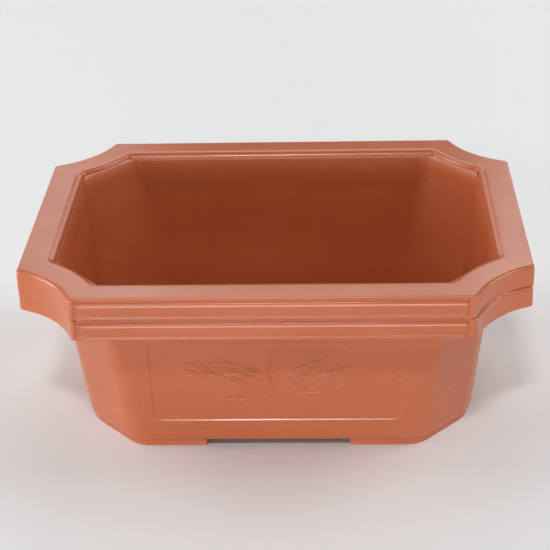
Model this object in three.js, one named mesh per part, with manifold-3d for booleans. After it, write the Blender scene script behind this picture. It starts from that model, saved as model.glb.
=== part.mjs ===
// Two identical moulded bonsai training pots, nested one inside the other.
// Millimetres, +Z up. The origin is at the centre of the footprint, on the surface that the feet stand on.
// Each pot is one thin plastic moulding: a tapered box with cut corners, a hollow skirted rim, a recessed panel
// on each long side, a floor with drainage holes, and four corner feet.

import * as THREE from 'three';
import Module from 'manifold-3d';
import { mergeVertices } from 'three/addons/utils/BufferGeometryUtils.js';

const manifold = await Module();
manifold.setup();

// One pot, overall
const POT_LENGTH = 200;
const POT_WIDTH = 145;
const POT_HEIGHT = 72.4;
const WALL = 0.5;

// Rim: a skirt as deep as the step between nested pots, so that it rests on the rim of the pot below.
// A shallow arc is cut from each corner, round a centre that lies outside the corner.
const RIM_DEPTH = 8.8;
const NOTCH_RADIUS = 37.8;
const NOTCH_CENTRE_OUT = 12.0;
const TIP_RADIUS = 2;
const BEAD_HEIGHT = 1.1;
const BEAD_PROUD = 0.25;
const RIM_SHELL = 1.0;
const LIP_WIDTH = 2.3;
const LIP_HEIGHT = 0.8;

// The skirt steps in to the flat top, less far at the two ends. The step is deep along the straight sides
// and shallow round the corners, where short posts stand up beside it.
const STEP_INSET = 1.3;
const END_STEP_INSET = 0.5;
const SIDE_STEP = 2.0;
const CORNER_STEP = 0.4;
const POST_WIDTH = 2.0;

// Mouth: inside its flat top the rim slopes down to a short collar above the wall
const RIM_FLAT = 9.2;
const MOUTH_SLOPE = 3.3;
const MOUTH_DROP = 2.0;
const MOUTH_COLLAR = 0.6;
const MOUTH_TIP_RADIUS = 3;

// Walls: half sizes and corner cut where the planes of the wall reach the top and the foot of the pot
const WALL_TOP_X = 85.8;
const WALL_TOP_Y = 59.3;
const END_TAPER = 6.2;
const SIDE_TAPER = 7.5;
const CORNER_CUT_TOP = 20.0;
const CORNER_CUT_FOOT = 21.7;
const EDGE_RADIUS = 8;
const BASE_BEVEL_HEIGHT = 2.0;
const BASE_BEVEL_INSET = 0.9;

// Floor and feet
const FLOOR = 0.8;
const FOOT_HEIGHT = 3.5;
const FOOT_INSET = 1.0;
const FOOT_WIDTH = 7;
const SIDE_FOOT_GAP = 58.4;
const END_FOOT_GAP = 36;
const DRAIN_RADIUS = 7;
const DRAIN_X = 36;
const TIE_HOLE_RADIUS = 2;
const TIE_HOLE_X = 60;
const TIE_HOLE_Y = 20;

// Recessed panel on each long side, and the shallow swelling that it makes inside
const PANEL_WIDTH = 100.6;
const PANEL_LOW = 14;
const PANEL_HIGH = 53.2;
const PANEL_CORNER = 4;
const PANEL_DEPTH = 0.4;
const PANEL_BACKING = 0.25;
const PANEL_BACKING_MARGIN = 0.6;

// Nesting
const NEST_GAP = 0.05;
const NEST_PITCH = RIM_DEPTH + NEST_GAP;

// Facets on curved edges, and the overlap that makes joined pieces one solid
const TIP_STEPS = 3;
const NOTCH_STEPS = 10;
const EDGE_STEPS = 4;
const HOLE_STEPS = 24;
const OVERLAP = 0.2;

const POT_COLOUR = 0xc06848;

// --- outlines, each made from its +X +Y corner as points from the +X side round to the +Y side ---

function arcPoints(centre, radius, from, to, clockwise, steps) {
  return new THREE.ArcCurve(centre.x, centre.y, radius, from, to, clockwise).getPoints(steps);
}

function wholeOutline(corner) {
  const turned = (sx, sy) => corner.map((point) => new THREE.Vector2(point.x * sx, point.y * sy));
  return [
    ...turned(1, 1),
    ...turned(-1, 1).reverse(),
    ...turned(-1, -1),
    ...turned(1, -1).reverse(),
  ];
}

// A corner cut away by a hollow arc, with a small round tip where the arc meets each side
function hollowCorner(halfX, halfY, arcCentre, arcRadius, tipRadius) {
  const reach = arcRadius + tipRadius;
  const tipX = halfX - tipRadius;
  const tipY = halfY - tipRadius;
  const endTip = new THREE.Vector2(tipX, arcCentre.y - Math.sqrt(reach ** 2 - (arcCentre.x - tipX) ** 2));
  const sideTip = new THREE.Vector2(arcCentre.x - Math.sqrt(reach ** 2 - (arcCentre.y - tipY) ** 2), tipY);
  const endAngle = arcCentre.clone().sub(endTip).angle();
  const sideAngle = arcCentre.clone().sub(sideTip).angle();
  return [
    ...arcPoints(endTip, tipRadius, 0, endAngle, false, TIP_STEPS),
    ...arcPoints(arcCentre, arcRadius, endAngle + Math.PI, sideAngle + Math.PI, true, NOTCH_STEPS).slice(1, -1),
    ...arcPoints(sideTip, tipRadius, sideAngle, Math.PI / 2, false, TIP_STEPS),
  ];
}

// Outline of the skirt, moved in by inset, and by endInset at the ends: a hollow arc is cut from each corner
function rimOutline(inset, tipRadius = TIP_RADIUS, endInset = inset) {
  const corner = new THREE.Vector2(POT_LENGTH / 2, POT_WIDTH / 2);
  return wholeOutline(hollowCorner(
    corner.x - endInset,
    corner.y - inset,
    corner.clone().addScalar(NOTCH_CENTRE_OUT),
    NOTCH_RADIUS + inset,
    tipRadius,
  ));
}

// Outline of the mouth, grown outwards by grow. Its corners run parallel to the notches.
function mouthOutline(grow) {
  return rimOutline(STEP_INSET + RIM_FLAT + MOUTH_SLOPE - grow, MOUTH_TIP_RADIUS + grow);
}

// Outline of the tapered wall at a height, moved in by inset: straight cut corners with rounded edges
function wallOutline(height, inset) {
  const drop = 1 - height / POT_HEIGHT;
  const halfX = WALL_TOP_X - END_TAPER * drop - inset;
  const halfY = WALL_TOP_Y - SIDE_TAPER * drop - inset;
  const cut = CORNER_CUT_TOP + (CORNER_CUT_FOOT - CORNER_CUT_TOP) * drop - inset * (2 - Math.SQRT2);
  const radius = EDGE_RADIUS - inset;
  const tangent = radius * Math.tan(Math.PI / 8);
  const endEdge = new THREE.Vector2(halfX - radius, halfY - cut - tangent);
  const sideEdge = new THREE.Vector2(halfX - cut - tangent, halfY - radius);
  return wholeOutline([
    ...arcPoints(endEdge, radius, 0, Math.PI / 4, false, EDGE_STEPS),
    ...arcPoints(sideEdge, radius, Math.PI / 4, Math.PI / 2, false, EDGE_STEPS),
  ]);
}

// --- solids ---

function solid(geometry) {
  geometry.deleteAttribute('normal');
  geometry.deleteAttribute('uv');
  const closed = mergeVertices(geometry);
  return new manifold.Manifold(new manifold.Mesh({
    numProp: 3,
    vertProperties: closed.attributes.position.array,
    triVerts: new Uint32Array(closed.index.array),
  }));
}

function prismGeometry(outline, low, high) {
  const geometry = new THREE.ExtrudeGeometry(new THREE.Shape(outline), {
    depth: high - low,
    bevelEnabled: false,
  });
  return geometry.translate(0, 0, low);
}

function prism(outline, low, high) {
  return solid(prismGeometry(outline, low, high));
}

// A prism whose upper end is moved from lowOutline to highOutline, point by point
function taperedPrism(lowOutline, highOutline, low, high) {
  const geometry = prismGeometry(lowOutline, low, high);
  const position = geometry.attributes.position;
  const middle = (low + high) / 2;
  const here = new THREE.Vector2();
  for (let i = 0; i < position.count; i += 1) {
    if (position.getZ(i) > middle) {
      here.set(position.getX(i), position.getY(i));
      const distances = lowOutline.map((point) => point.distanceTo(here));
      const target = highOutline[distances.indexOf(Math.min(...distances))];
      position.setXY(i, target.x, target.y);
    }
  }
  return solid(geometry);
}

function box(sizeX, sizeY, low, high) {
  const geometry = new THREE.BoxGeometry(sizeX, sizeY, high - low);
  return solid(geometry.translate(0, 0, (low + high) / 2));
}

function verticalHole(x, y, radius) {
  const depth = 4 * FLOOR;
  const geometry = new THREE.CylinderGeometry(radius, radius, depth, HOLE_STEPS);
  geometry.rotateX(Math.PI / 2);
  return solid(geometry.translate(x, y, FOOT_HEIGHT + FLOOR / 2));
}

// Solid core of the walls from the floor up, moved in by inset, with its bevelled lower edge at base
function taperedCore(base, top, inset) {
  const bevelTop = base + BASE_BEVEL_HEIGHT;
  const bevel = taperedPrism(
    wallOutline(base, inset + BASE_BEVEL_INSET),
    wallOutline(bevelTop, inset),
    base,
    bevelTop,
  );
  return bevel.add(taperedPrism(wallOutline(bevelTop, inset), wallOutline(top, inset), bevelTop, top));
}

// Blocks that cover the straight sides of the rim between its corner posts
function sideBlocks(low, high) {
  const notchReach = Math.sqrt(NOTCH_RADIUS ** 2 - NOTCH_CENTRE_OUT ** 2) - NOTCH_CENTRE_OUT;
  const stop = notchReach + POST_WIDTH;
  const lengthways = box(POT_LENGTH - 2 * stop, POT_WIDTH, low, high);
  const widthways = box(POT_LENGTH, POT_WIDTH - 2 * stop, low, high);
  return lengthways.add(widthways);
}

// The skirt with its bead, hollow above a turned-in lip, under a flat top that is still closed
function rim() {
  const skirtFoot = POT_HEIGHT - RIM_DEPTH;
  const beadTop = skirtFoot + BEAD_HEIGHT;
  const lipTop = skirtFoot + LIP_HEIGHT;
  const sideTop = POT_HEIGHT - SIDE_STEP;
  const cornerTop = POT_HEIGHT - CORNER_STEP;
  const plateFoot = POT_HEIGHT - RIM_SHELL;
  const bead = prism(rimOutline(0), skirtFoot, beadTop);
  const skirt = prism(rimOutline(BEAD_PROUD), beadTop, sideTop);
  const corners = prism(rimOutline(BEAD_PROUD), sideTop, cornerTop).subtract(sideBlocks(sideTop, cornerTop));
  const top = prism(rimOutline(STEP_INSET, TIP_RADIUS, END_STEP_INSET), sideTop, POT_HEIGHT);
  const skirtHollow = prism(rimOutline(BEAD_PROUD + RIM_SHELL), lipTop, sideTop - RIM_SHELL);
  const lipHollow = prism(rimOutline(LIP_WIDTH), skirtFoot - 1, plateFoot);
  return bead.add(skirt).add(corners).add(top).subtract(skirtHollow).subtract(lipHollow);
}

// The sloping edge of the mouth, as a solid plug that the mouth is then cut from
function mouthSurround(collarFoot) {
  const plateMiddle = POT_HEIGHT - RIM_SHELL / 2;
  return taperedPrism(
    mouthOutline(WALL),
    mouthOutline(MOUTH_SLOPE + RIM_SHELL),
    collarFoot - WALL,
    plateMiddle,
  );
}

// The mouth: upright at its collar, then widening to the flat top and on beyond it
function mouthCut(collarFoot) {
  const slopeFoot = POT_HEIGHT - MOUTH_DROP;
  const collar = prism(mouthOutline(0), collarFoot, slopeFoot + OVERLAP);
  const slope = taperedPrism(
    mouthOutline(0),
    mouthOutline(2 * MOUTH_SLOPE),
    slopeFoot,
    slopeFoot + 2 * MOUTH_DROP,
  );
  return collar.add(slope);
}

function feet() {
  const outer = prism(wallOutline(0, FOOT_INSET), 0, FOOT_HEIGHT + OVERLAP);
  const inner = prism(wallOutline(0, FOOT_INSET + FOOT_WIDTH), -1, FOOT_HEIGHT);
  const sideGap = box(SIDE_FOOT_GAP, POT_WIDTH, -1, FOOT_HEIGHT);
  const endGap = box(POT_LENGTH, END_FOOT_GAP, -1, FOOT_HEIGHT);
  return outer.subtract(inner).subtract(sideGap).subtract(endGap);
}

// A round-cornered plate parallel to the long wall, from one depth below its surface to another.
// Negative depths are outside the wall. facing is -1 for the front wall and 1 for the back wall.
function wallPlate(grow, nearDepth, farDepth, facing) {
  const slope = Math.atan(SIDE_TAPER / POT_HEIGHT);
  const halfWidth = PANEL_WIDTH / 2 + grow;
  const halfHeight = (PANEL_HIGH - PANEL_LOW) / 2 / Math.cos(slope) + grow;
  const radius = PANEL_CORNER + grow;
  const corner = arcPoints(
    new THREE.Vector2(halfWidth - radius, halfHeight - radius),
    radius,
    0,
    Math.PI / 2,
    false,
    2 * EDGE_STEPS,
  );
  const geometry = prismGeometry(wholeOutline(corner), -farDepth, -nearDepth);
  const middleHeight = (PANEL_LOW + PANEL_HIGH) / 2;
  const middleY = WALL_TOP_Y - SIDE_TAPER * (1 - middleHeight / POT_HEIGHT);
  const placement = new THREE.Matrix4().makeBasis(
    new THREE.Vector3(1, 0, 0),
    new THREE.Vector3(0, -Math.sin(slope), Math.cos(slope)),
    new THREE.Vector3(0, -Math.cos(slope), -Math.sin(slope)),
  );
  placement.setPosition(0, -middleY, middleHeight);
  geometry.applyMatrix4(placement);
  if (facing > 0) {
    geometry.rotateZ(Math.PI);
  }
  return solid(geometry);
}

function potSolid() {
  const floorTop = FOOT_HEIGHT + FLOOR;
  const collarFoot = POT_HEIGHT - MOUTH_DROP - MOUTH_COLLAR;
  const walls = taperedCore(FOOT_HEIGHT, POT_HEIGHT - RIM_SHELL / 2, 0);
  const cavity = taperedCore(floorTop, collarFoot + OVERLAP, WALL);
  const body = rim().add(walls).add(mouthSurround(collarFoot));
  let pot = body.subtract(cavity).subtract(mouthCut(collarFoot)).add(feet());
  for (const facing of [-1, 1]) {
    const backing = wallPlate(PANEL_BACKING_MARGIN, WALL - OVERLAP, WALL + PANEL_BACKING, facing);
    const recess = wallPlate(0, -1, PANEL_DEPTH, facing);
    pot = pot.add(backing).subtract(recess);
  }
  for (const side of [-1, 1]) {
    pot = pot.subtract(verticalHole(side * DRAIN_X, 0, DRAIN_RADIUS));
    for (const end of [-1, 1]) {
      pot = pot.subtract(verticalHole(end * TIE_HOLE_X, side * TIE_HOLE_Y, TIE_HOLE_RADIUS));
    }
  }
  return pot;
}

function potMesh(name, height, shape) {
  const { vertProperties, triVerts } = shape.getMesh();
  const geometry = new THREE.BufferGeometry();
  geometry.setAttribute('position', new THREE.BufferAttribute(vertProperties, 3));
  geometry.setIndex(new THREE.BufferAttribute(triVerts, 1));
  geometry.computeVertexNormals();
  const material = new THREE.MeshStandardMaterial({ color: POT_COLOUR, roughness: 0.4, metalness: 0 });
  const mesh = new THREE.Mesh(geometry, material);
  mesh.name = name;
  mesh.position.z = height;
  return mesh;
}

const bonsaiPots = new THREE.Group();
const pot = potSolid();
bonsaiPots.add(potMesh('lower_pot', 0, pot));
bonsaiPots.add(potMesh('upper_pot', NEST_PITCH, pot));

export default bonsaiPots;
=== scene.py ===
import math
import random

import bpy
import numpy as np
from mathutils import Matrix, Vector
from mathutils.geometry import delaunay_2d_cdt


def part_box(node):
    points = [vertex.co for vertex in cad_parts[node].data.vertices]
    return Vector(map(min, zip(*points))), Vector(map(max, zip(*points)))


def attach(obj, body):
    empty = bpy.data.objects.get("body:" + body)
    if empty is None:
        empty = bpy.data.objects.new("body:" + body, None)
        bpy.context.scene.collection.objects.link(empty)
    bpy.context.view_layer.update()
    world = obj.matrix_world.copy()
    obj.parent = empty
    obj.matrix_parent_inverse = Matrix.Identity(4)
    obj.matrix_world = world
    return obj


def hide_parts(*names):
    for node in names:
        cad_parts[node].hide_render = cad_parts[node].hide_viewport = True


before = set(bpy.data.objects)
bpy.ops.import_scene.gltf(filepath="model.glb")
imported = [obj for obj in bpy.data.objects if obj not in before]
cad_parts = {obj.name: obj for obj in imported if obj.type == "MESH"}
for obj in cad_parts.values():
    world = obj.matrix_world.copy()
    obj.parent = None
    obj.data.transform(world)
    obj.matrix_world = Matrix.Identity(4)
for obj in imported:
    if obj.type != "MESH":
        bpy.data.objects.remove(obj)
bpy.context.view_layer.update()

MM = 0.001
SAME = 1e-4 * MM
SAME_DIGITS = 7
Z_AXIS = Vector((0, 0, 1))

# One pot, from the frame
POT_LOW, POT_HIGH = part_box("lower_pot")
HALF_LENGTH = POT_HIGH.x
HALF_WIDTH = POT_HIGH.y
HEIGHT = POT_HIGH.z - POT_LOW.z
NEST_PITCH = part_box("upper_pot")[0].z - POT_LOW.z

# Rim: a skirt with an arc cut from each corner, and on each straight side a bar between two posts
RIM_DEPTH = 8.8 * MM
NOTCH_RADIUS = 37.8 * MM
NOTCH_CENTRE_OUT = 12.0 * MM
NOTCH_CENTRE = np.array([HALF_LENGTH, HALF_WIDTH]) + NOTCH_CENTRE_OUT
TIP_RADIUS = 2 * MM
RIM_SHELL = 1.0 * MM
LIP_WIDTH = 2.3 * MM
LIP_HEIGHT = 0.8 * MM
STEP_INSET = 1.3 * MM
END_STEP_INSET = 0.5 * MM
SIDE_STEP = 2.0 * MM
SIDE_EDGE = 0.6 * MM
CORNER_STEP = 0.35 * MM
CORNER_SHOULDER = 1.3 * MM
CORNER_EDGE = 0.25 * MM
FACE_INSET = 0.25 * MM
SHOULDER_DROP = 2.5 * MM
BEAD_HEIGHT = 1.1 * MM
BEAD_ROUND = 0.45 * MM
BEAD_ANGLES = (-60, -30, 0, 30, 60)
POST_WIDTH = 2.0 * MM
POST_SIDE = 1.0 * MM
GROOVE_DEPTH = 0.6 * MM
GROOVE_SLANT = 1.0 * MM
GROOVE_PLACE = 0.6
LIP_ROOT_EDGE = 0.2 * MM
NOTCH_FADE = 0.6 * TIP_RADIUS

# The band between bead and shoulder: how far it dips in, and how high above the bead (mm)
BAND_HOLLOW = ((0.04, 0.1), (0.09, 0.5), (0.05, 1.4))
BAND_TOP_DROP = 0.4 * MM

# How far in the plain corners stand, from the foot of the skirt to its shoulder
CORNER_FOOT_INSET = 0.2 * MM
CORNER_BEAD_INSET = 0.02 * MM
CORNER_BAND_INSET = 0.05 * MM
CORNER_FACE_INSET = 0.08 * MM
CORNER_TOP_INSET = 0.1 * MM

# How far the rings round the corners stand above those along the bar, and where the steps begin
CORNER_BEAD_RISE = 0.1 * MM
CORNER_FACE_RISE = 0.6 * MM
SIDE_STEP_RISE = 0.3 * MM
CORNER_STEP_RISE = 0.03 * MM
CORNER_STEP_IN = 0.02 * MM

# Mouth: the flat top rolls over into the inner wall, with a narrow ledge above the cut corners
FLAT_INSET = 10.5 * MM
MOUTH_ROLL = 3.3 * MM
MOUTH_DROP = 2.6 * MM
CORNER_ROLL = 2.3 * MM
CORNER_DROP = 1.8 * MM
MOUTH_TIP_RADIUS = 3 * MM
LEDGE_DROP = 0.6 * MM
FLAT_SHARES = (0.06, 0.3, 0.65)
UNDER_ROLL_DROP = 0.7 * MM

# Walls
WALL = 0.5 * MM
WALL_TOP_X = 85.8 * MM
WALL_TOP_Y = 59.3 * MM
END_TAPER = 6.2 * MM
SIDE_TAPER = 7.5 * MM
CORNER_CUT_TOP = 20.0 * MM
CORNER_CUT_FOOT = 21.7 * MM
EDGE_RADIUS_TOP = 7 * MM
EDGE_RADIUS_FOOT = 14 * MM
END_FLARE = 1.42 * MM
LEDGE_PROUD = 1.3 * MM
LEDGE_FADE = 7 * MM
SLOPE = math.atan(SIDE_TAPER / HEIGHT)

# Floor and feet
FLOOR = 0.8 * MM
FOOT_HEIGHT = 3.5 * MM
FOOT_INSET = 1.0 * MM
FOOT_WIDTH = 7 * MM
SIDE_FOOT_GAP = 58.4 * MM
END_FOOT_GAP = 36 * MM
FOOT_EDGE = 0.35 * MM
FOOT_ROOT_FLARE = 0.12 * MM
FOOT_ROOT_DROP = 0.15 * MM
FOOT_TAPER = 0.08 * MM
BASE_ROUND_IN = 1.0 * MM
BASE_ROUND_UP = 2.6 * MM
FLOOR_FILLET = 2.2 * MM
DRAIN_RADIUS = 7 * MM
DRAIN_X = 36 * MM
TIE_HOLE_RADIUS = 2 * MM
TIE_HOLE_X = 60 * MM
TIE_HOLE_Y = 20 * MM

# Recessed panel
PANEL_HALF_WIDTH = 50.3 * MM
PANEL_LOW = 14 * MM
PANEL_HIGH = 53.2 * MM
PANEL_CORNER = 4 * MM
PANEL_DEPTH = 0.42 * MM
PANEL_BEVEL = 0.8 * MM
PANEL_LEDGE = 0.38 * MM
PANEL_LEDGE_STEP = 0.09 * MM
SWELL_DEPTH = 0.25 * MM
SWELL_BEVEL = 2.5 * MM
PANEL_MIDDLE = (PANEL_LOW + PANEL_HIGH) / 2
PANEL_HALF_HEIGHT = (PANEL_HIGH - PANEL_LOW) / 2 / math.cos(SLOPE)

# Unevenness of a thin moulding: how far its walls and rim stray from true
SIDE_BOW = 0.10 * MM
SIDE_RIPPLE = 0.022 * MM
END_SINK = 0.03 * MM
END_RIPPLE = 0.02 * MM
RIM_WAVE = 0.02 * MM

# How quickly each of those waves turns, along the pot and up it, or along the rim
LONG_RIPPLE = (19 * MM, 13 * MM)
SHORT_RIPPLE = (8.3 * MM, 17 * MM)
SHORT_RIPPLE_SHARE = 0.6
END_WAVE = (14 * MM, 21 * MM)
RIM_WAVES = (11 * MM, 29 * MM)
WAVE_START = 1.1
RIM_WAVE_DRIFT = 0.7

# Where the walls' waves come in, as shares of half the pot's width and of half its length
SIDE_FADE = (0.5, 0.75)
END_FADE = (0.68, 0.88)

# Columns of points along the straight runs, and steps round the curves
FINE = 0.3 * MM
FINE_MARGIN = 3 * FINE
FINE_REACH = 5.4 * MM
COARSE = 2.4 * MM
INNER_STEP = 1.9 * MM
TIP_STEPS = 5
CUT_STEPS = 18
BASE_STEPS = 7
SHOULDER_STEPS = 7
EDGE_STEPS = 5
ROLL_STEPS = 10
COLLAR_STEPS = 6
FILLET_STEPS = 5
FOOT_STEPS = 4
DRAIN_STEPS = 40
TIE_HOLE_STEPS = 16


# ---------------------------------------------------------------- outlines

def arc(centre, radius, start, end, steps):
    angles = np.linspace(start, end, steps + 1)
    return np.stack([
        centre[0] + radius * np.cos(angles),
        centre[1] + radius * np.sin(angles),
    ], axis=1)


def smooth(t):
    t = np.clip(t, 0, 1)
    return t * t * (3 - 2 * t)


def ramp(value, start, end):
    """0 up to start, 1 beyond end, and evenly rising between them."""
    return np.clip((value - start) / (end - start), 0, 1)


def spread(low, high, step):
    """Evenly spaced values from low to high, about step apart."""
    return np.linspace(low, high, max(1, round((high - low) / step)) + 1)


def unevenly(coarse, fine, change, last):
    """Shares of a run from 0 to 1: coarse steps up to change, then fine steps up to last."""
    before = np.linspace(0, change, coarse + 1)[1:]
    after = np.linspace(change, last, fine + 1)[1:]
    return np.concatenate([before, after])


SIDE_MARGIN = unevenly(coarse=7, fine=12, change=0.82, last=0.99)
END_MARGIN = unevenly(coarse=6, fine=10, change=0.91, last=0.992)


def side_columns():
    """X of the point columns across the panel, close together near its two ends."""
    outer = PANEL_HALF_WIDTH + FINE_MARGIN
    inner = outer - FINE_REACH - FINE_MARGIN
    right = np.concatenate([spread(0, inner, COARSE), spread(inner, outer, FINE)[1:]])
    return np.concatenate([-right[:0:-1], right])


SIDE_COLUMNS = side_columns()


def hollow_corner(half_x, half_y, centre, radius, tip):
    """The +X +Y corner, from its +X end: a hollow arc with a small round tip at each end."""
    reach = radius + tip
    tip_x = half_x - tip
    tip_y = half_y - tip
    end_tip = (tip_x, centre[1] - math.sqrt(reach ** 2 - (centre[0] - tip_x) ** 2))
    side_tip = (centre[0] - math.sqrt(reach ** 2 - (centre[1] - tip_y) ** 2), tip_y)
    end_angle = math.atan2(centre[1] - end_tip[1], centre[0] - end_tip[0])
    side_angle = math.atan2(centre[1] - side_tip[1], centre[0] - side_tip[0])
    return np.concatenate([
        arc(end_tip, tip, 0, end_angle, TIP_STEPS),
        arc(centre, radius, end_angle + math.pi, side_angle + math.pi, CUT_STEPS)[1:-1],
        arc(side_tip, tip, side_angle, math.pi / 2, TIP_STEPS),
    ])


def outline(corner):
    """The whole outline, anticlockwise from its +X +Y corner. The side columns keep their X."""
    reach = corner[-1, 0]
    side_y = corner[-1, 1]
    end_x = corner[0, 0]
    end_y = corner[0, 1]
    margin = SIDE_COLUMNS[-1] + (reach - SIDE_COLUMNS[-1]) * SIDE_MARGIN
    xs = np.concatenate([-margin[::-1], SIDE_COLUMNS, margin])
    front = np.stack([xs, np.full(len(xs), -side_y)], axis=1)
    ys = end_y * np.concatenate([-END_MARGIN[::-1], [0], END_MARGIN])
    right = np.stack([np.full(len(ys), end_x), ys], axis=1)
    return np.concatenate([
        corner,
        -front,
        (corner * (-1, 1))[::-1],
        -right,
        -corner,
        front,
        (corner * (1, -1))[::-1],
        right,
    ])


def at_end(inset):
    """An inset of the skirt's long sides, as it is at the two ends, where the step is smaller."""
    across_step = smooth((inset - FACE_INSET) / (STEP_INSET - FACE_INSET))
    return inset - (STEP_INSET - END_STEP_INSET) * across_step


def rim_outline(inset, corner_inset=None, tip=TIP_RADIUS, end_inset=None):
    """Outline of the skirt, moved in by inset. Its notches and ends can have their own inset."""
    half_x = HALF_LENGTH - (inset if end_inset is None else end_inset)
    half_y = HALF_WIDTH - inset
    corner_inset = inset if corner_inset is None else corner_inset
    return outline(hollow_corner(half_x, half_y, NOTCH_CENTRE, NOTCH_RADIUS + corner_inset, tip))


def mouth_outline(grow, corner_grow):
    """Outline of the mouth's foot, grown outwards. Its corners run parallel to the notches."""
    inset = FLAT_INSET + MOUTH_ROLL - grow
    corner_inset = FLAT_INSET + CORNER_ROLL - corner_grow
    return rim_outline(inset, corner_inset, MOUTH_TIP_RADIUS + grow)


def notch_share():
    """For each point round an outline: 1 on the notch's arc, fading to 0 round its tips."""
    flat = np.abs(rim_outline(0))
    clear = np.hypot(*(NOTCH_CENTRE - flat).T) - NOTCH_RADIUS
    return 1 - smooth(clear / NOTCH_FADE)


NOTCH_SHARE = notch_share()


def wall_corner(height, inset, more_cut=0):
    """The wall's +X +Y corner at a height, moved in by inset: a straight cut with rounded edges."""
    drop = 1 - height / HEIGHT
    flare = END_FLARE * smooth(1 - drop * HEIGHT / RIM_DEPTH)
    half_x = WALL_TOP_X - END_TAPER * drop - inset + flare
    half_y = WALL_TOP_Y - SIDE_TAPER * drop - inset
    cut = CORNER_CUT_TOP + (CORNER_CUT_FOOT - CORNER_CUT_TOP) * drop
    cut = cut - inset * (2 - math.sqrt(2)) + more_cut
    radius = EDGE_RADIUS_TOP + (EDGE_RADIUS_FOOT - EDGE_RADIUS_TOP) * drop - inset
    tangent = radius * math.tan(math.pi / 8)
    end_edge = arc((half_x - radius, half_y - cut - tangent), radius, 0, math.pi / 4, TIP_STEPS)
    side_centre = (half_x - cut - tangent, half_y - radius)
    side_edge = arc(side_centre, radius, math.pi / 4, math.pi / 2, TIP_STEPS)
    straight = np.linspace(end_edge[-1], side_edge[0], CUT_STEPS + 1)[1:-1]
    return np.concatenate([end_edge, straight, side_edge])


def wall_outline(height, inset, more_cut=0):
    return outline(wall_corner(height, inset, more_cut))


def panel_distance(x, height):
    """How far inside the panel's outline a point of the long wall is. Outside, it is negative."""
    over_x = np.abs(x) - (PANEL_HALF_WIDTH - PANEL_CORNER)
    over_z = np.abs((height - PANEL_MIDDLE) / math.cos(SLOPE)) - (PANEL_HALF_HEIGHT - PANEL_CORNER)
    outside = np.hypot(np.maximum(over_x, 0), np.maximum(over_z, 0))
    return PANEL_CORNER - outside - np.minimum(np.maximum(over_x, over_z), 0)


def panel_share(x, height):
    """How deep the panel is, from 0 outside to 1 on its face. Its lower edge is a steep ledge."""
    along_ledge = 1 - smooth((height - PANEL_LOW) / PANEL_CORNER)
    bevel = PANEL_BEVEL + (PANEL_LEDGE - PANEL_BEVEL) * along_ledge
    share = np.clip(panel_distance(x, height) / bevel, 0, 1)
    return share * along_ledge + smooth(share) * (1 - along_ledge)


def swell_share(x, height):
    """The same for the shallow swelling inside the wall, behind the panel."""
    return smooth(panel_distance(x, height) / SWELL_BEVEL)


def wall_ring(height, inset, depth=0, share=panel_share, more_cut=0):
    """A ring of the wall, with the long sides pushed in by depth where the panel is."""
    flat = wall_outline(height, inset, more_cut)
    side_y = np.abs(flat[:, 1]).max()
    if depth:
        on_side = np.abs(flat[:, 1]) > side_y - SAME
        push = depth * share(flat[:, 0], height) * on_side
        flat[:, 1] -= np.sign(flat[:, 1]) * push
    return level(flat, height)


def level(flat, height):
    return np.column_stack([flat, np.full(len(flat), height)])


# ---------------------------------------------------------------- one closed shell

SHARP_ANGLE = math.radians(42)
FILL_TOLERANCE = 1e-9


class Shell:
    """Points and faces of a closed surface, added ring by ring."""

    def __init__(self):
        self.points = []
        self.count = 0
        self.faces = []

    def add(self, ring):
        self.points.append(ring)
        first = self.count
        self.count += len(ring)
        return np.arange(first, self.count)

    def join(self, below, above):
        """Quads between two rings, which face out if the rings run anticlockwise."""
        self.faces += np.column_stack([
            below,
            np.roll(below, -1),
            np.roll(above, -1),
            above,
        ]).tolist()

    def loft(self, start, rings):
        """Joins each ring to the one before it, and gives the last."""
        for ring in rings:
            following = self.add(ring)
            self.join(start, following)
            start = following
        return start

    def fill(self, loops, upwards):
        """Fills the flat region between an outer loop and the loops inside it."""
        points = np.concatenate(self.points)
        ids = np.concatenate(loops)
        flat = points[ids, :2]
        edges = []
        first = 0
        for loop in loops:
            around = np.arange(first, first + len(loop))
            edges += np.column_stack([around, np.roll(around, -1)]).tolist()
            first += len(loop)
        found = delaunay_2d_cdt([Vector(p) for p in flat], edges, [], 0, FILL_TOLERANCE)
        triangles, origins = found[2:4]
        corners = np.array([[ids[origins[v][0]] for v in triangle] for triangle in triangles])
        middles = points[corners, :2].mean(axis=1)
        inside = np.zeros(len(corners), bool)
        for a, b in edges:
            (ax, ay), (bx, by) = flat[a], flat[b]
            if ay != by:
                crossing = ax + (middles[:, 1] - ay) * (bx - ax) / (by - ay)
                spans = (ay > middles[:, 1]) != (by > middles[:, 1])
                inside ^= spans & (middles[:, 0] < crossing)
        for a, b, c in corners[inside].tolist():
            turn = np.cross(points[b, :2] - points[a, :2], points[c, :2] - points[a, :2])
            self.faces.append([a, b, c] if (turn > 0) == upwards else [a, c, b])

    def piece(self, name, lift, material):
        points = settle(np.concatenate(self.points))
        points[:, 2] += lift
        mesh = bpy.data.meshes.new(name)
        mesh.from_pydata(points.tolist(), [], self.faces)
        mesh.validate()
        mesh.shade_smooth()
        mesh.set_sharp_from_angle(angle=SHARP_ANGLE)
        mesh.materials.append(material)
        piece = bpy.data.objects.new(name, mesh)
        bpy.context.scene.collection.objects.link(piece)
        shading = piece.modifiers.new("shading", "WEIGHTED_NORMAL")
        shading.keep_sharp = True
        return piece


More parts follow.
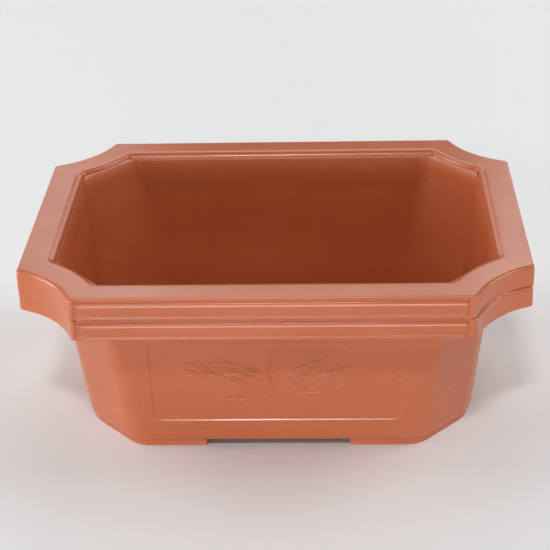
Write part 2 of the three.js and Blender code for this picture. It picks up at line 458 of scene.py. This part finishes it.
def settle(points):
    """The unevenness of a thin moulding: its walls bow and ripple a little, and its rim less."""
    x, y, z = points.T
    on_wall = np.sin(np.pi * np.clip(z / (HEIGHT - RIM_DEPTH), 0, 1))
    on_rim = np.clip((z - (HEIGHT - RIM_DEPTH)) / RIM_DEPTH, 0, 1)
    on_side = ramp(np.abs(y) / HALF_WIDTH, *SIDE_FADE)
    on_end = ramp(np.abs(x) / HALF_LENGTH, *END_FADE)
    long_x, long_z = LONG_RIPPLE
    short_x, short_z = SHORT_RIPPLE
    end_y, end_z = END_WAVE
    rim_x, rim_drift_x = RIM_WAVES
    long_ripple = np.sin(x / long_x + WAVE_START) * np.cos(z / long_z)
    ripple = long_ripple + SHORT_RIPPLE_SHARE * np.sin(x / short_x + z / short_z)
    bow = SIDE_BOW * (1 - (x / HALF_LENGTH) ** 2) + SIDE_RIPPLE * ripple
    sink = END_SINK + END_RIPPLE * np.sin(y / end_y + z / end_z)
    rim_wave = RIM_WAVE * (1 + np.sin(x / rim_x + RIM_WAVE_DRIFT * np.sin(x / rim_drift_x)))
    moved = points.copy()
    moved[:, 1] -= np.sign(y) * on_side * (bow * on_wall + rim_wave * on_rim)
    moved[:, 0] -= np.sign(x) * on_end * sink * on_wall
    return moved


# ---------------------------------------------------------------- the moulding

def quarter(steps):
    """Sine and cosine round a quarter circle."""
    return [(math.sin(a), math.cos(a)) for a in np.linspace(0, math.pi / 2, steps + 1)]


def base_rings():
    """From the edge of the flat underside, round its lower edge, to the foot of the wall."""
    for sine, cosine in quarter(BASE_STEPS):
        height = FOOT_HEIGHT + BASE_ROUND_UP * (1 - cosine)
        yield wall_ring(height, BASE_ROUND_IN * (1 - sine))


def wall_heights():
    """Heights of the wall's rings, close together at the panel's lower and upper edges."""
    low = PANEL_LOW - FINE_MARGIN
    low_end = low + FINE_REACH + FINE_MARGIN
    high = PANEL_HIGH + FINE_MARGIN
    high_start = high - FINE_REACH - FINE_MARGIN
    heights = np.concatenate([
        spread(FOOT_HEIGHT + BASE_ROUND_UP, low, COARSE)[1:],
        spread(low, low_end, FINE)[1:],
        spread(low_end, high_start, COARSE)[1:],
        spread(high_start, high, FINE)[1:],
        spread(high, HEIGHT - MOUTH_DROP - LEDGE_DROP - WALL, COARSE)[1:],
        spread(PANEL_LOW, PANEL_LOW + PANEL_LEDGE, PANEL_LEDGE_STEP),
    ])
    return np.unique(np.round(heights, SAME_DIGITS))


def outer_wall_rings():
    for height in wall_heights():
        yield wall_ring(height, 0, PANEL_DEPTH)


def under_rim_rings():
    """Under the mouth's roll and the flat top, and down the skirt's inside to its turned-in lip."""
    foot = HEIGHT - RIM_DEPTH
    plate = HEIGHT - RIM_SHELL
    shoulder = HEIGHT - SIDE_STEP - RIM_SHELL
    half_roll = MOUTH_ROLL / 2 + RIM_SHELL
    half_corner_roll = CORNER_ROLL / 2 + RIM_SHELL
    yield level(mouth_outline(WALL, WALL), HEIGHT - MOUTH_DROP - WALL)
    yield level(mouth_outline(half_roll, half_corner_roll), plate - UNDER_ROLL_DROP)
    yield level(mouth_outline(MOUTH_ROLL + RIM_SHELL, CORNER_ROLL + RIM_SHELL), plate)
    for inset, height in (
        (LIP_WIDTH + LIP_ROOT_EDGE, plate),
        (LIP_WIDTH, plate - LIP_ROOT_EDGE),
        (LIP_WIDTH, shoulder),
        (FACE_INSET + RIM_SHELL, shoulder),
        (FACE_INSET + RIM_SHELL, foot + LIP_HEIGHT),
        (LIP_WIDTH, foot + LIP_HEIGHT),
        (LIP_WIDTH, foot),
    ):
        yield level(rim_outline(inset), height)


def side_shares(flat, slant):
    """Shares of each point on a bar and in a groove, for the long sides and then for the ends."""
    reach = math.sqrt(NOTCH_RADIUS ** 2 - NOTCH_CENTRE_OUT ** 2) - NOTCH_CENTRE_OUT
    x, y = np.abs(flat).T
    for across, along, half_along in ((y, x, HALF_LENGTH), (x, y, HALF_WIDTH)):
        on_side = across > across.max() - SAME
        past_post = half_along - reach - POST_WIDTH - along
        bar = smooth(past_post / POST_SIDE + 0.5)
        from_groove = np.abs(past_post - POST_SIDE * GROOVE_PLACE)
        groove = 1 - smooth(from_groove / (POST_SIDE + GROOVE_SLANT * slant))
        yield on_side * bar, on_side * groove


def skirt_ring(bar, corner, sit):
    """A ring of the skirt. bar and corner each give its inset from the outline and its height."""
    (bar_inset, bar_height), (corner_inset, corner_height) = bar, corner
    flat = rim_outline(corner_inset, end_inset=at_end(corner_inset))
    slant = (HEIGHT - bar_height) / RIM_DEPTH
    deep = min(1, max(0, STEP_INSET - bar_inset) / STEP_INSET)
    (side_bar, side_groove), (end_bar, end_groove) = side_shares(flat, slant)
    side_push = side_bar * (bar_inset - corner_inset) + side_groove * GROOVE_DEPTH * deep
    end_step = at_end(bar_inset) - at_end(corner_inset)
    end_push = end_bar * end_step + end_groove * GROOVE_DEPTH * deep
    flat -= np.sign(flat) * np.column_stack([end_push, side_push])

    # The notches' offset comes in over the top third of the skirt, their hang over its last quarter
    on_right = flat[:, 0] > 0
    below = (HEIGHT - corner_height) / RIM_DEPTH
    offset = NOTCH_SHARE * np.where(on_right, sit["right"], sit["left"]) * min(1, 3 * below)
    hang = NOTCH_SHARE * ~on_right * smooth(below * 4 - 3) * sit["hang"]
    to_centre = np.sign(flat) * NOTCH_CENTRE - flat
    outwards = to_centre / np.linalg.norm(to_centre, axis=1)[:, None]
    heights = corner_height + (bar_height - corner_height) * (side_bar + end_bar)
    return np.column_stack([flat + outwards * offset[:, None], heights - hang])


def skirt_rings(sit):
    """Up the skirt: bead, hollow band, shoulder and step on the bars, plainer at the corners."""
    foot = HEIGHT - RIM_DEPTH
    step = HEIGHT - SIDE_STEP
    corner_step = HEIGHT - CORNER_STEP
    bead = BEAD_HEIGHT / 2
    yield skirt_ring((BEAD_ROUND, foot), (CORNER_FOOT_INSET, foot), sit)
    for angle in np.radians(BEAD_ANGLES):
        inset = BEAD_ROUND * (1 - math.cos(angle))
        height = foot + bead * (1 + math.sin(angle))
        yield skirt_ring((inset, height), (CORNER_BEAD_INSET, height + CORNER_BEAD_RISE), sit)
    for dip, up in BAND_HOLLOW:
        height = foot + BEAD_HEIGHT + up * MM
        yield skirt_ring((FACE_INSET + dip * MM, height), (CORNER_BAND_INSET, height), sit)
    height = step - SHOULDER_DROP - BAND_TOP_DROP
    yield skirt_ring((FACE_INSET, height), (CORNER_FACE_INSET, height + CORNER_FACE_RISE), sit)
    bar_reach = STEP_INSET - FACE_INSET
    corner_reach = STEP_INSET - CORNER_TOP_INSET
    for sine, cosine in quarter(SHOULDER_STEPS):
        bar = (STEP_INSET - bar_reach * cosine, step - SHOULDER_DROP * (1 - sine))
        corner = (STEP_INSET - corner_reach * cosine, corner_step - CORNER_SHOULDER * (1 - sine))
        yield skirt_ring(bar, corner, sit)
    bar = (STEP_INSET, step + SIDE_STEP_RISE)
    corner = (STEP_INSET + CORNER_STEP_IN, corner_step + CORNER_STEP_RISE)
    yield skirt_ring(bar, corner, sit)
    for sine, cosine in quarter(EDGE_STEPS):
        bar = (STEP_INSET + SIDE_EDGE * (1 - cosine), HEIGHT - SIDE_EDGE * (1 - sine))
        corner = (STEP_INSET + CORNER_EDGE * (1 - cosine), HEIGHT - CORNER_EDGE * (1 - sine))
        yield skirt_ring(bar, corner, sit)


def mouth_rings():
    """Across the flat top, rolling over its inner edge and round the ledge on to the inner wall."""
    outer_inset = STEP_INSET + SIDE_EDGE
    outer = rim_outline(outer_inset, STEP_INSET + CORNER_EDGE, end_inset=at_end(outer_inset))
    inner = mouth_outline(MOUTH_ROLL, CORNER_ROLL)
    for share in FLAT_SHARES:
        yield level(outer + (inner - outer) * share, HEIGHT)
    drop = MOUTH_DROP + (CORNER_DROP - MOUTH_DROP) * NOTCH_SHARE
    for sine, cosine in quarter(ROLL_STEPS):
        flat = mouth_outline(MOUTH_ROLL * (1 - sine), CORNER_ROLL * (1 - sine))
        yield np.column_stack([flat, HEIGHT - drop * (1 - cosine)])
    mouth = mouth_outline(0, 0)
    wall = wall_outline(HEIGHT - MOUTH_DROP, WALL, LEDGE_PROUD)
    for sine, cosine in quarter(COLLAR_STEPS)[1:]:
        heights = HEIGHT - drop - LEDGE_DROP * (1 - cosine)
        yield np.column_stack([mouth + (wall - mouth) * sine, heights])


def inner_rings():
    """Down the inside, over the panel's shallow swelling, and round into the floor."""
    top = HEIGHT - MOUTH_DROP - LEDGE_DROP
    foot = FOOT_HEIGHT + FLOOR + FLOOR_FILLET
    for height in spread(foot, top, INNER_STEP)[::-1]:
        ledge = LEDGE_PROUD * (1 - smooth((top - height) / LEDGE_FADE))
        yield wall_ring(height, WALL, SWELL_DEPTH, swell_share, ledge)
    for sine, cosine in quarter(FILLET_STEPS)[1:]:
        height = foot - FLOOR_FILLET * sine
        yield wall_ring(height, WALL + FLOOR_FILLET * (1 - cosine))


def circle(x, y, radius, steps):
    return arc((x, y), radius, 0, 2 * math.pi, steps)[:-1]


def holes():
    """Outlines of the drainage and tie-down holes in the floor."""
    for side in (-1, 1):
        yield circle(side * DRAIN_X, 0, DRAIN_RADIUS, DRAIN_STEPS)
        for end in (-1, 1):
            yield circle(end * TIE_HOLE_X, side * TIE_HOLE_Y, TIE_HOLE_RADIUS, TIE_HOLE_STEPS)


def foot_outline(height, shrink, turn_x, turn_y):
    """One corner foot seen from above, anticlockwise, made smaller all round by shrink."""
    end_y = END_FOOT_GAP / 2 + shrink
    side_x = SIDE_FOOT_GAP / 2 + shrink
    outer = wall_corner(0, FOOT_INSET + shrink)
    inner = wall_corner(0, FOOT_INSET + FOOT_WIDTH - shrink)
    ring = np.concatenate([
        [(outer[0, 0], end_y)],
        outer,
        [(side_x, outer[-1, 1])],
        [(side_x, inner[-1, 1])],
        inner[::-1],
        [(inner[0, 0], end_y)],
    ])
    ring = ring * (turn_x, turn_y)
    return level(ring if turn_x * turn_y > 0 else ring[::-1], height)


def foot_rings(turn_x, turn_y):
    """Down one foot, from its slightly flared root to the rounded edge of its sole."""
    yield foot_outline(FOOT_HEIGHT, -FOOT_ROOT_FLARE, turn_x, turn_y)
    yield foot_outline(FOOT_HEIGHT - FOOT_ROOT_DROP, 0, turn_x, turn_y)
    for sine, cosine in quarter(FOOT_STEPS):
        shrink = FOOT_TAPER + FOOT_EDGE * (1 - cosine)
        yield foot_outline(FOOT_EDGE * (1 - sine), shrink, turn_x, turn_y)


def feet(shell):
    """Adds the four feet, and gives the loops where they meet the underside."""
    roots = []
    for turn_x in (-1, 1):
        for turn_y in (-1, 1):
            rows = [shell.add(ring) for ring in foot_rings(turn_x, turn_y)]
            for above, below in zip(rows, rows[1:]):
                shell.join(below, above)
            shell.fill([rows[-1]], upwards=False)
            roots.append(rows[0])
    return roots


def moulding(sit):
    """The whole pot as one shell. sit is how its notches sit beside those of the other pot."""
    shell = Shell()
    first, *base = base_rings()
    underside = shell.add(first)
    last = shell.loft(underside, base)
    stages = (
        outer_wall_rings(),
        under_rim_rings(),
        skirt_rings(sit),
        mouth_rings(),
        inner_rings(),
    )
    for rings in stages:
        last = shell.loft(last, rings)
    below = []
    above = []
    for hole in holes():
        below.append(shell.add(level(hole, FOOT_HEIGHT)))
        above.append(shell.add(level(hole, FOOT_HEIGHT + FLOOR)))
        shell.join(above[-1], below[-1])
    shell.fill([last, *above], upwards=True)
    shell.fill([underside, *below, *feet(shell)], upwards=False)
    return shell


# ---------------------------------------------------------------- relief and flash

# A stroke's section, in half widths across and crests up. Its edges are sunk in the panel.
STROKE_SECTION = ((-1, -0.15), (-0.55, 0.7), (0, 1), (0.55, 0.7), (1, -0.15), (0, -0.5))
STROKE_FADE = 1.4

LEAF_STEPS = 9
LEAF_CREST = 0.26 * MM
LEAF_LENGTHS = (4.5, 9)
LEAF_WIDTHS = (0.55, 0.95)
LEAF_SPREAD = (10, 30)
LEAF_BEND = (0.1, 0.45)
LEAF_FULLNESS = 0.75
LEAF_POINT = 0.04
TIP_LEAF_LENGTHS = (6, 9)
TIP_LEAF_WIDTH = 0.8 * MM
TIP_LEAF_BEND = (-0.3, 0.3)
STEM_STEPS = 12
STEM_CREST = 0.16 * MM
STEM_HALF_WIDTH = 0.22 * MM
STEM_NARROWING = 0.5
STEM_POINT = 0.2
STEM_BARE = 0.25
STEM_LEAFY = 0.7


def on_panel(u, v, raised, facing):
    """A point u across and v up from the middle of the panel's face, raised off it."""
    out_y = -math.cos(SLOPE)
    out_z = -math.sin(SLOPE)
    middle_y = WALL_TOP_Y - SIDE_TAPER * (1 - PANEL_MIDDLE / HEIGHT)
    off_wall = raised - PANEL_DEPTH
    y = -middle_y - v * math.sin(SLOPE) + off_wall * out_y
    z = PANEL_MIDDLE + v * math.cos(SLOPE) + off_wall * out_z
    return np.stack([-facing * u, -facing * y, z], axis=-1)


def stroke(shell, line, half_width, crest, facing):
    """A raised stroke along line, with a low domed section, closed at both ends."""
    along = np.gradient(line, axis=0)
    along /= np.linalg.norm(along, axis=1)[:, None]
    across = np.column_stack([-along[:, 1], along[:, 0]])
    fade = np.minimum(1, half_width / half_width.max() * STROKE_FADE)
    rows = []
    for offset, height in STROKE_SECTION:
        flat = line + across * (half_width * offset)[:, None]
        rows.append(shell.add(on_panel(flat[:, 0], flat[:, 1], crest * height * fade, facing)))
    for a, b in zip(rows, rows[1:] + rows[:1]):
        shell.faces += np.column_stack([a[1:], a[:-1], b[:-1], b[1:]]).tolist()
    shell.faces.append([row[0] for row in rows])
    shell.faces.append([row[-1] for row in rows][::-1])


def curve(start, heading, length, bend, steps):
    """Points along a gently bending line, whose heading turns by bend from end to end."""
    share = np.linspace(0, 1, steps + 1)
    angles = heading + bend * share
    step = length / steps
    moves = np.stack([np.cos(angles[:-1]), np.sin(angles[:-1])], axis=1) * step
    return np.concatenate([[start], start + np.cumsum(moves, axis=0)])


def leaf(shell, start, heading, length, width, bend, facing):
    line = curve(start, heading, length, bend, LEAF_STEPS)
    share = np.linspace(0, 1, len(line))
    half = width / 2 * np.maximum(np.sin(np.pi * share ** LEAF_FULLNESS), LEAF_POINT)
    stroke(shell, line, half, LEAF_CREST, facing)


def spray(shell, chance, start, heading, length, bend, leaves, facing):
    """A slender stem with narrow leaves to either side of it and one at its tip."""
    stem = curve(start, heading, length, bend, STEM_STEPS)
    half = STEM_HALF_WIDTH * np.linspace(1, STEM_NARROWING, len(stem))
    half[[0, -1]] *= STEM_POINT
    stroke(shell, stem, half, STEM_CREST, facing)
    for k in range(leaves):
        share = STEM_BARE + STEM_LEAFY * k / leaves
        root = stem[int(share * STEM_STEPS)]
        side = 1 if k % 2 else -1
        angle = heading + bend * share + side * math.radians(chance.uniform(*LEAF_SPREAD))
        leaf_length = chance.uniform(*LEAF_LENGTHS) * MM
        leaf_width = chance.uniform(*LEAF_WIDTHS) * MM
        leaf_bend = -side * chance.uniform(*LEAF_BEND)
        leaf(shell, root, angle, leaf_length, leaf_width, leaf_bend, facing)
    tip_length = chance.uniform(*TIP_LEAF_LENGTHS) * MM
    tip_bend = chance.uniform(*TIP_LEAF_BEND)
    leaf(shell, stem[-1], heading + bend, tip_length, TIP_LEAF_WIDTH, tip_bend, facing)


RELIEF_SEED = 11

# start across and up (mm), heading (degrees), stem length (mm), bend (degrees), number of leaves
SPRAYS = (
    (-2, -5, 163, 29, -14, 9),
    (-12, 3, 176, 20, 8, 7),
    (-5, -1, 143, 15, 24, 6),
    (-1, -5, 108, 13, -22, 5),
    (3, -5, 60, 14, -28, 6),
    (4, -3, 30, 21, -22, 8),
    (9, 1, 12, 20, 8, 7),
    (3, -7, 6, 18, 12, 6),
    (-5, -9, 184, 15, -8, 6),
    (10, 7, 38, 8, -18, 4),
    (-14, 8, 166, 9, 14, 4),
    (1, 3, 22, 9, -10, 4),
    (-3, 3, 160, 8, 8, 4),
    (1, 0, 250, 9, -40, 4),
    (6, -2, 340, 9, 30, 4),
    (-2, 0, 205, 10, -30, 4),
)


def relief(shell, facing):
    """A generic spray of narrow leaves, raised on the panel."""
    chance = random.Random(RELIEF_SEED)
    for across, up, heading, length, bend, leaves in SPRAYS:
        start = np.array([across, up]) * MM
        turn = math.radians(heading)
        spray(shell, chance, start, turn, length * MM, math.radians(bend), leaves, facing)


FLASH_POINTS = 60
FLASH_PROUD = 0.12 * MM
FLASH_LEAST = 0.02 * MM
FLASH_END = 0.01 * MM
FLASH_HANG = (0.02, 0.2)
FLASH_TOP = (-0.3 * MM, 0.25 * MM)
FLASH_ROOT = (-0.35 * MM, 0.05 * MM)


def flash(shell, seed, corner, first, last):
    """A ragged fin of moulding flash under the bead, along part of one notch."""
    chance = random.Random(seed)
    foot = HEIGHT - RIM_DEPTH
    path = rim_outline(0)[TIP_STEPS:TIP_STEPS + CUT_STEPS + 1]
    share = np.linspace(first, last, FLASH_POINTS)
    spot = share * (len(path) - 1)
    steps = np.arange(len(path))
    flat = np.stack([np.interp(spot, steps, path[:, k]) for k in (0, 1)], axis=1)
    away = NOTCH_CENTRE - flat
    away /= np.linalg.norm(away, axis=1)[:, None]
    proud = np.array([max(FLASH_LEAST, chance.gauss(FLASH_PROUD, FLASH_PROUD)) for _ in share])
    proud[[0, -1]] = FLASH_END
    hang = np.array([chance.uniform(*FLASH_HANG) for _ in share]) * MM
    rows = []
    for out, up in (FLASH_TOP, (proud, -hang), FLASH_ROOT):
        ring = flat + away * np.broadcast_to(out, share.shape)[:, None]
        heights = np.broadcast_to(foot + up, share.shape)
        rows.append(shell.add(np.column_stack([ring * corner, heights])))
    order = 1 if corner[0] * corner[1] > 0 else -1
    for a, b in zip(rows, rows[1:] + rows[:1]):
        quads = np.column_stack([a[:-1], a[1:], b[1:], b[:-1]])
        shell.faces += quads[:, ::order].tolist()
    shell.faces.append([row[0] for row in rows][::order])
    shell.faces.append([row[-1] for row in rows][::-order])


# ---------------------------------------------------------------- material

DEEP_COLOUR = (0.480, 0.113, 0.038)
WARM_COLOUR = (0.515, 0.130, 0.047)
FLOW_COLOUR = (0.55, 0.145, 0.062)
# Painted highlight: the paler colour laid on the convex edges
EDGE_HIGHLIGHT_COLOUR = (0.62, 0.23, 0.13)
DUST_COLOUR = (0.75, 0.45, 0.33)

# How much of each shows at its strongest
FLOW_COVER = 0.35
# How pale the painted edge highlight gets at most
EDGE_HIGHLIGHT_COVER = 0.35
DUST_COVER = 0.14

# Noise patterns: scale, detail, and how tightly they are drawn together along each axis
MOTTLE = (24, 3)
FLOW_LINES = (9, 4, (1, 1, 14))
DUST = (1500, 0)
SCUFFS = (60, 2, (1, 1, 8))
PATCHES = (45, 3)
SWELL = (140, 1)
GRAIN = (2200, 2)

# The part of each pattern's values over which its effect comes in
COLOUR_RANGE = (0.35, 0.65)
# Pointiness over which the painted edge highlight comes in
EDGE_HIGHLIGHT_RANGE = (0.51, 0.60)
DUST_RANGE = (0.82, 0.86)
SCUFF_RANGE = (0.3, 0.8)
PATCH_RANGE = (0.3, 0.7)

PATCH_ROUGHNESS = (0.21, 0.26)
SCUFF_ROUGHNESS = 0.04
PLASTIC_IOR = 1.58
BUMP_STRENGTH = 0.25
SWELL_HEIGHT = 0.05 * MM
GRAIN_HEIGHT = 0.012 * MM

# The factor, A and B sockets of a node that mixes colours, and its result
MIX_SOCKETS = (0, 6, 7)
MIX_RESULT = 2


def terracotta(name, shift):
    """Satin moulded plastic: mottled, with faint flow lines, dust and scuffs, and paler convex
    edges that are a painted highlight.
    """
    material = bpy.data.materials.new(name)
    material.use_nodes = True
    tree = material.node_tree
    tree.nodes.clear()

    def node(kind, **settings):
        made = tree.nodes.new(kind)
        for key, value in settings.items():
            if key in made.inputs:
                made.inputs[key].default_value = value
            else:
                setattr(made, key, value)
        return made

    def link(a, b):
        tree.links.new(a, b)

    output = node("ShaderNodeOutputMaterial")
    shader = node("ShaderNodeBsdfPrincipled")
    link(shader.outputs[0], output.inputs[0])
    place = node("ShaderNodeTexCoord")
    moved = node("ShaderNodeMapping")
    moved.inputs["Location"].default_value = shift
    link(place.outputs["Object"], moved.inputs["Vector"])

    def noise(scale, detail, stretch=(1, 1, 1)):
        made = node("ShaderNodeTexNoise", Scale=scale, Detail=detail)
        squeeze = node("ShaderNodeMapping")
        squeeze.inputs["Scale"].default_value = stretch
        link(moved.outputs[0], squeeze.inputs["Vector"])
        link(squeeze.outputs[0], made.inputs["Vector"])
        return made.outputs["Fac"]

    def remap(value, before, after):
        made = node("ShaderNodeMapRange")
        keys = ("From Min", "From Max", "To Min", "To Max")
        for key, number in zip(keys, (*before, *after)):
            made.inputs[key].default_value = number
        link(value, made.inputs["Value"])
        return made.outputs[0]

    def mix(factor, first, second):
        made = node("ShaderNodeMix", data_type="RGBA")
        for k, value in zip(MIX_SOCKETS, (factor, first, second)):
            if isinstance(value, tuple):
                made.inputs[k].default_value = (*value, 1)
            else:
                link(value, made.inputs[k])
        return made.outputs[MIX_RESULT]

    mottle = remap(noise(*MOTTLE), COLOUR_RANGE, (0, 1))
    colour = mix(mottle, DEEP_COLOUR, WARM_COLOUR)
    flow = remap(noise(*FLOW_LINES), COLOUR_RANGE, (0, FLOW_COVER))
    colour = mix(flow, colour, FLOW_COLOUR)
    pointiness = node("ShaderNodeNewGeometry").outputs["Pointiness"]
    # Painted highlight: the sharper convex edges, found by pointiness, are made paler
    edge_highlight = remap(pointiness, EDGE_HIGHLIGHT_RANGE, (0, EDGE_HIGHLIGHT_COVER))
    colour = mix(edge_highlight, colour, EDGE_HIGHLIGHT_COLOUR)
    dust = remap(noise(*DUST), DUST_RANGE, (0, DUST_COVER))
    colour = mix(dust, colour, DUST_COLOUR)
    link(colour, shader.inputs["Base Color"])

    roughness = node("ShaderNodeMath", operation="ADD")
    link(remap(noise(*PATCHES), PATCH_RANGE, PATCH_ROUGHNESS), roughness.inputs[0])
    link(remap(noise(*SCUFFS), SCUFF_RANGE, (0, SCUFF_ROUGHNESS)), roughness.inputs[1])
    link(roughness.outputs[0], shader.inputs["Roughness"])
    shader.inputs["IOR"].default_value = PLASTIC_IOR

    swell = node("ShaderNodeBump", Strength=BUMP_STRENGTH, Distance=SWELL_HEIGHT)
    link(noise(*SWELL), swell.inputs["Height"])
    grain = node("ShaderNodeBump", Strength=BUMP_STRENGTH, Distance=GRAIN_HEIGHT)
    link(noise(*GRAIN), grain.inputs["Height"])
    link(swell.outputs[0], grain.inputs["Normal"])
    link(grain.outputs[0], shader.inputs["Normal"])
    return material


# ---------------------------------------------------------------- the two pots

TEXTURE_STEP = (0.13, 0.07, 0.05)


def build_pot(body, lift, seed, sit, flash_runs):
    """One moulding with its relief and flash, as the one piece of its body."""
    shell = moulding(sit)
    for facing in (-1, 1):
        relief(shell, facing)
    for k, (corner, first, last) in enumerate(flash_runs):
        flash(shell, seed + k, corner, first, last)
    material = terracotta(f"terracotta_{body}", [seed * step for step in TEXTURE_STEP])
    piece = shell.piece(f"{body}_moulding", lift, material)
    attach(piece, body)
    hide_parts(body)


FRONT_RIGHT = (1, -1)
FRONT_LEFT = (-1, -1)
BACK_LEFT = (-1, 1)

# The pots sit a little askew: the upper skirt stands back on the right and hangs on the left
LOWER_SIT = {"left": -0.1 * MM, "right": 0.2 * MM, "hang": 0}
UPPER_SIT = {"left": 0.15 * MM, "right": -0.4 * MM, "hang": 1.0 * MM}

# Flash: the corner, and where along its notch the fin starts and ends
LOWER_FLASH = ((FRONT_RIGHT, 0.35, 0.98), (BACK_LEFT, 0.1, 0.5))
UPPER_FLASH = ((FRONT_RIGHT, 0.3, 0.99), (FRONT_LEFT, 0.75, 0.95))

LOWER_SEED = 3
UPPER_SEED = 8

build_pot("lower_pot", POT_LOW.z, LOWER_SEED, LOWER_SIT, LOWER_FLASH)
build_pot("upper_pot", POT_LOW.z + NEST_PITCH, UPPER_SEED, UPPER_SIT, UPPER_FLASH)


# ---------------------------------------------------------------- stage, lights and camera

FLOOR_REACH = 3.0
FLOOR_COLOUR = (0.86, 0.87, 0.87, 1)
FLOOR_ROUGHNESS = 0.75
STUDIO_GLOW = 0.02
LAMP_DISTANCE = 1.7
LAMP_TARGET = Vector((0, 0, 0.04))


def floor():
    mesh = bpy.data.meshes.new("floor")
    turns = ((-1, -1), (1, -1), (1, 1), (-1, 1))
    corners = [(x * FLOOR_REACH, y * FLOOR_REACH, 0) for x, y in turns]
    mesh.from_pydata(corners, [], [(0, 1, 2, 3)])
    material = bpy.data.materials.new("pale_floor")
    material.use_nodes = True
    shader = material.node_tree.nodes["Principled BSDF"]
    shader.inputs["Base Color"].default_value = FLOOR_COLOUR
    shader.inputs["Roughness"].default_value = FLOOR_ROUGHNESS
    mesh.materials.append(material)
    made = bpy.data.objects.new("floor", mesh)
    bpy.context.scene.collection.objects.link(made)


def surroundings(strength):
    world = bpy.data.worlds.new("studio")
    world.use_nodes = True
    background = world.node_tree.nodes["Background"]
    background.inputs["Color"].default_value = (1, 1, 1, 1)
    background.inputs["Strength"].default_value = strength
    bpy.context.scene.world = world


def softbox(name, azimuth, elevation, size, watts):
    """A soft light facing the pots. Azimuth 0 is in front, and 90 degrees is on the right."""
    turn = math.radians(azimuth)
    up = math.radians(elevation)
    away = Vector((math.sin(turn) * math.cos(up), -math.cos(turn) * math.cos(up), math.sin(up)))
    lamp = bpy.data.lights.new(name, "AREA")
    lamp.shape = "RECTANGLE"
    lamp.size, lamp.size_y = size
    lamp.energy = watts
    made = bpy.data.objects.new(name, lamp)
    made.location = LAMP_TARGET + away * LAMP_DISTANCE
    made.rotation_mode = "QUATERNION"
    made.rotation_quaternion = away.to_track_quat("Z", "Y")
    bpy.context.scene.collection.objects.link(made)


def aim_camera():
    azimuth = math.radians(2.49)
    elevation = math.radians(28.87)
    roll = math.radians(-1.68)
    distance = 0.6281
    target = Vector((-0.00163, 0, 0.0514))
    back = Vector((
        math.sin(azimuth) * math.cos(elevation),
        -math.cos(azimuth) * math.cos(elevation),
        math.sin(elevation),
    ))
    level_right = (-back).cross(Z_AXIS).normalized()
    level_up = level_right.cross(-back)
    right = level_right * math.cos(roll) + level_up * math.sin(roll)
    up = level_up * math.cos(roll) - level_right * math.sin(roll)
    lens = bpy.data.cameras.new("camera")
    lens.sensor_width = 36
    lens.lens = 97.43
    lens.clip_start = 0.01
    lens.clip_end = 20
    made = bpy.data.objects.new("camera", lens)
    facing = Matrix((right, up, back)).transposed().to_4x4()
    made.matrix_world = Matrix.Translation(target + back * distance) @ facing
    bpy.context.scene.collection.objects.link(made)
    bpy.context.scene.camera = made


# name, azimuth and elevation (degrees), width and height (m), watts
LIGHTS = (
    ("front_low", 0, 3, (1.1, 0.22), 9.2),
    ("front_left_low", -40, 3, (1.1, 0.22), 3.2),
    ("front_key", -14, 27, (0.2, 0.14), 1.8),
    ("front_high", -4, 55, (0.2, 0.14), 7.2),
    ("left_low", -86, 9, (0.9, 0.6), 13.5),
    ("right_low", 88, 9, (0.8, 0.5), 4.8),
    ("left_high", -98, 46, (0.8, 0.6), 6),
    ("right_high", 98, 45, (0.8, 0.6), 8.2),
    ("back_left", -150, 24, (1.1, 0.6), 3),
    ("back_right", 150, 24, (1.1, 0.6), 4),
    ("back_high", 180, 44, (0.8, 0.8), 4.9),
)

floor()
surroundings(STUDIO_GLOW)
for light in LIGHTS:
    softbox(*light)
aim_camera()
bpy.context.scene.view_settings.view_transform = "Standard"
